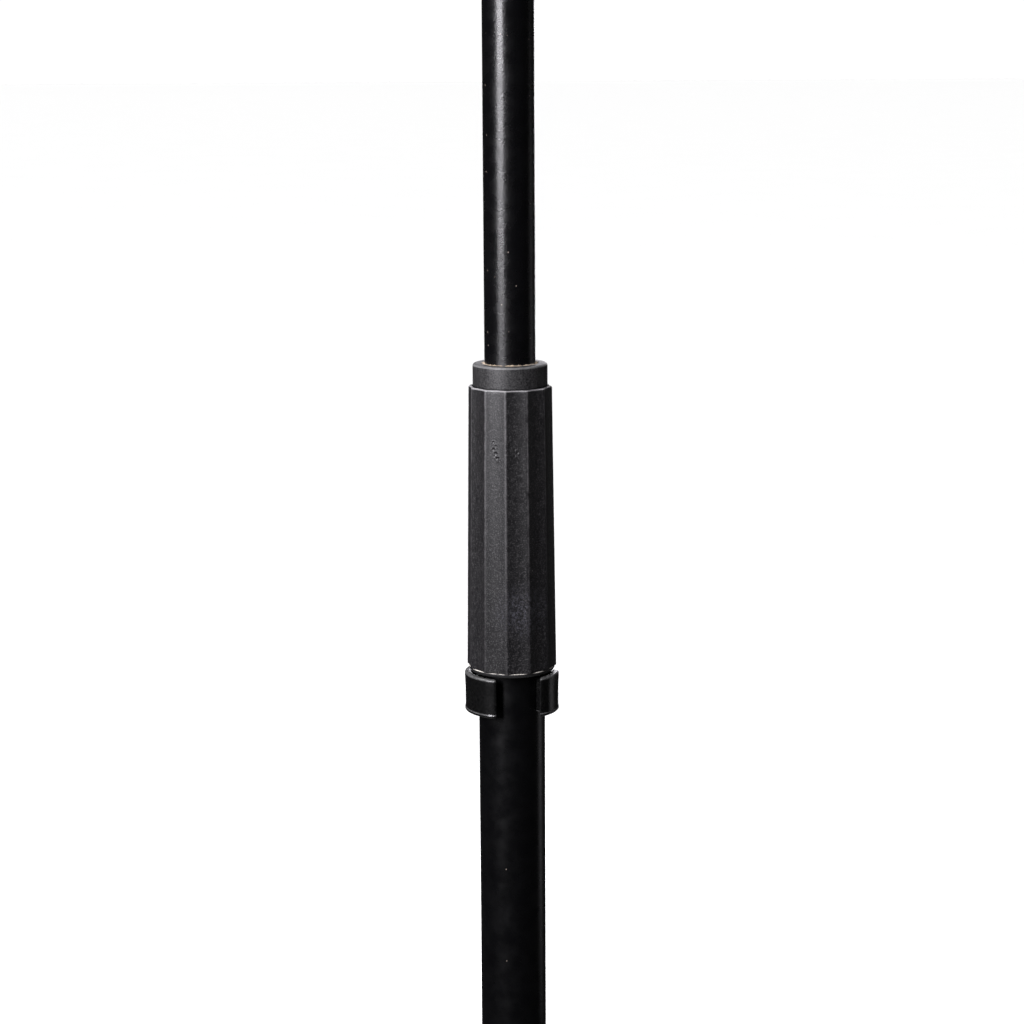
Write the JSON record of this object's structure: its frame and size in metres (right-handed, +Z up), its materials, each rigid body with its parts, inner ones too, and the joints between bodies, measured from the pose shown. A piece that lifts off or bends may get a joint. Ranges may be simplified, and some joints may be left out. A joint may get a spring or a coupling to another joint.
{
  "type": "music stand",
  "caption": "Black folding music stand: tripod base, telescoping column with a fluted twist grip, felt-lined collar and snap clip, and a tilting perforated desk with a ledge.",
  "frame": {"origin": "on the floor, on the column's axis", "axes": "+Z up the column, -Y towards the player, +X to the player's right as the desk is faced from the front"},
  "size_m": [0.5544, 0.4833, 1.3112],
  "materials": {
    "black_tube": "satin black powder coat on steel",
    "black_sheet": "fine-textured black powder coat on steel sheet",
    "grip_plastic": "soft-touch dark grey moulded plastic",
    "cap_plastic": "fine-textured dark grey moulded plastic",
    "clip_plastic": "satin-gloss black moulded plastic",
    "black_plastic": "glass-filled black nylon",
    "bearing_plastic": "natural acetal",
    "felt": "pressed wool felt",
    "rubber": "matt black rubber",
    "fibre": "pressed fibre friction disc",
    "zinc_steel": "zinc-plated steel"
  },
  "bodies": {
    "stand": {"lower_tube": "black_tube", "tube_plug": "black_plastic", "base_hub": "black_plastic", "hub_pin": "zinc_steel", "clutch_body": "black_plastic", "collet": "bearing_plastic", "collar_ring": "cap_plastic", "felt_wiper": "felt"},
    "grip": {"grip_sleeve": "grip_plastic", "grip_end_ring": "cap_plastic", "cam_sleeve": "black_plastic"},
    "wedge": {"wedge_ring": "bearing_plastic"},
    "clip": {"snap_clip": "clip_plastic"},
    "brace_pair_1": {"brace_1": "black_sheet", "brace_rivets_1": "zinc_steel"},
    "leg_set_1": {"leg_1": "black_tube", "leg_knuckle_1": "black_plastic", "leg_foot_1": "rubber"},
    "brace_pair_2": {"brace_2": "black_sheet", "brace_rivets_2": "zinc_steel"},
    "leg_set_2": {"leg_2": "black_tube", "leg_knuckle_2": "black_plastic", "leg_foot_2": "rubber"},
    "brace_pair_3": {"brace_3": "black_sheet", "brace_rivets_3": "zinc_steel"},
    "leg_set_3": {"leg_3": "black_tube", "leg_knuckle_3": "black_plastic", "leg_foot_3": "rubber"},
    "collar": {"slider_collar": "black_plastic", "collar_liner": "bearing_plastic", "collar_pins": "zinc_steel"},
    "collar_screw": {"collar_knob": "black_plastic", "collar_knob_stud": "zinc_steel"},
    "bush": {"glide_bush": "bearing_plastic"},
    "mast": {"upper_tube": "black_tube", "upper_tube_plug": "black_plastic", "bush_snap_ring": "zinc_steel", "tilt_head": "black_plastic", "head_rivet": "zinc_steel", "friction_washers": "fibre"},
    "desk": {"desk_bracket": "black_sheet", "tilt_nut": "zinc_steel", "bracket_screws": "zinc_steel", "bracket_nuts": "zinc_steel", "desk_plate": "black_sheet", "desk_ledge": "black_sheet", "ledge_rivets": "zinc_steel"},
    "tilt_screw": {"tilt_knob": "black_plastic", "tilt_bolt": "zinc_steel", "tilt_washer": "zinc_steel"}
  },
  "joints": [
    {"name": "brace_1_fold", "type": "hinge", "parent": "stand", "child": "brace_pair_1", "pos_m": [0, 0.024, 0.045], "axis": [1, 0, 0], "range_deg": [0, 48]},
    {"name": "leg_1_fold", "type": "hinge", "parent": "brace_pair_1", "child": "leg_set_1", "pos_m": [0, 0.13868, 0.1253], "axis": [1, 0, 0], "range_deg": [-96, 0]},
    {"name": "brace_2_fold", "type": "hinge", "parent": "stand", "child": "brace_pair_2", "pos_m": [-0.02079, -0.012, 0.045], "axis": [-0.5, 0.866, 0], "range_deg": [0, 48]},
    {"name": "leg_2_fold", "type": "hinge", "parent": "brace_pair_2", "child": "leg_set_2", "pos_m": [-0.1201, -0.06934, 0.1253], "axis": [-0.5, 0.866, 0], "range_deg": [-96, 0]},
    {"name": "brace_3_fold", "type": "hinge", "parent": "stand", "child": "brace_pair_3", "pos_m": [0.02079, -0.012, 0.045], "axis": [-0.5, -0.866, 0], "range_deg": [0, 48]},
    {"name": "leg_3_fold", "type": "hinge", "parent": "brace_pair_3", "child": "leg_set_3", "pos_m": [0.1201, -0.06934, 0.1253], "axis": [-0.5, -0.866, 0], "range_deg": [-96, 0]},
    {"name": "collar_level", "type": "hinge", "parent": "leg_set_1", "child": "collar", "pos_m": [0, 0.024, 0.2056], "axis": [1, 0, 0], "range_deg": [0, 48]},
    {"name": "collar_knob_turn", "type": "hinge", "parent": "collar", "child": "collar_screw", "pos_m": [0, -0.04, 0.2136], "axis": [0, -1, 0], "range_deg": [0, 360]},
    {"name": "grip_twist", "type": "hinge", "parent": "stand", "child": "grip", "pos_m": [0, 0, 0.7], "axis": [0, 0, 1], "range_deg": [0, 120]},
    {"name": "wedge_slide", "type": "slide", "parent": "stand", "child": "wedge", "axis": [0, 0, 1], "range_m": [-0.002, 0]},
    {"name": "clip_slide", "type": "slide", "parent": "stand", "child": "clip", "axis": [0, 0, 1], "range_m": [-0.27, 0.0004]},
    {"name": "height_slide", "type": "slide", "parent": "stand", "child": "bush", "axis": [0, 0, 1], "range_m": [-0.26, 0.17]},
    {"name": "mast_swivel", "type": "hinge", "parent": "bush", "child": "mast", "pos_m": [0, 0, 0.9], "axis": [0, 0, 1], "continuous": true},
    {"name": "desk_tilt", "type": "hinge", "parent": "mast", "child": "desk", "pos_m": [0, 0, 1.09], "axis": [1, 0, 0], "range_deg": [-65, 25]},
    {"name": "tilt_knob_turn", "type": "hinge", "parent": "desk", "child": "tilt_screw", "pos_m": [0.02, 0, 1.09], "axis": [1, 0, 0], "range_deg": [0, 360]}
  ],
  "couplings": [
    {"joint": "leg_1_fold", "follows": "brace_1_fold", "ratio": -2},
    {"joint": "collar_level", "follows": "brace_1_fold", "ratio": 1},
    {"joint": "brace_2_fold", "follows": "brace_1_fold", "ratio": 1},
    {"joint": "leg_2_fold", "follows": "brace_1_fold", "ratio": -2},
    {"joint": "brace_3_fold", "follows": "brace_1_fold", "ratio": 1},
    {"joint": "leg_3_fold", "follows": "brace_1_fold", "ratio": -2},
    {"joint": "wedge_slide", "follows": "grip_twist", "m_per_rad": -0.00095}
  ]
}
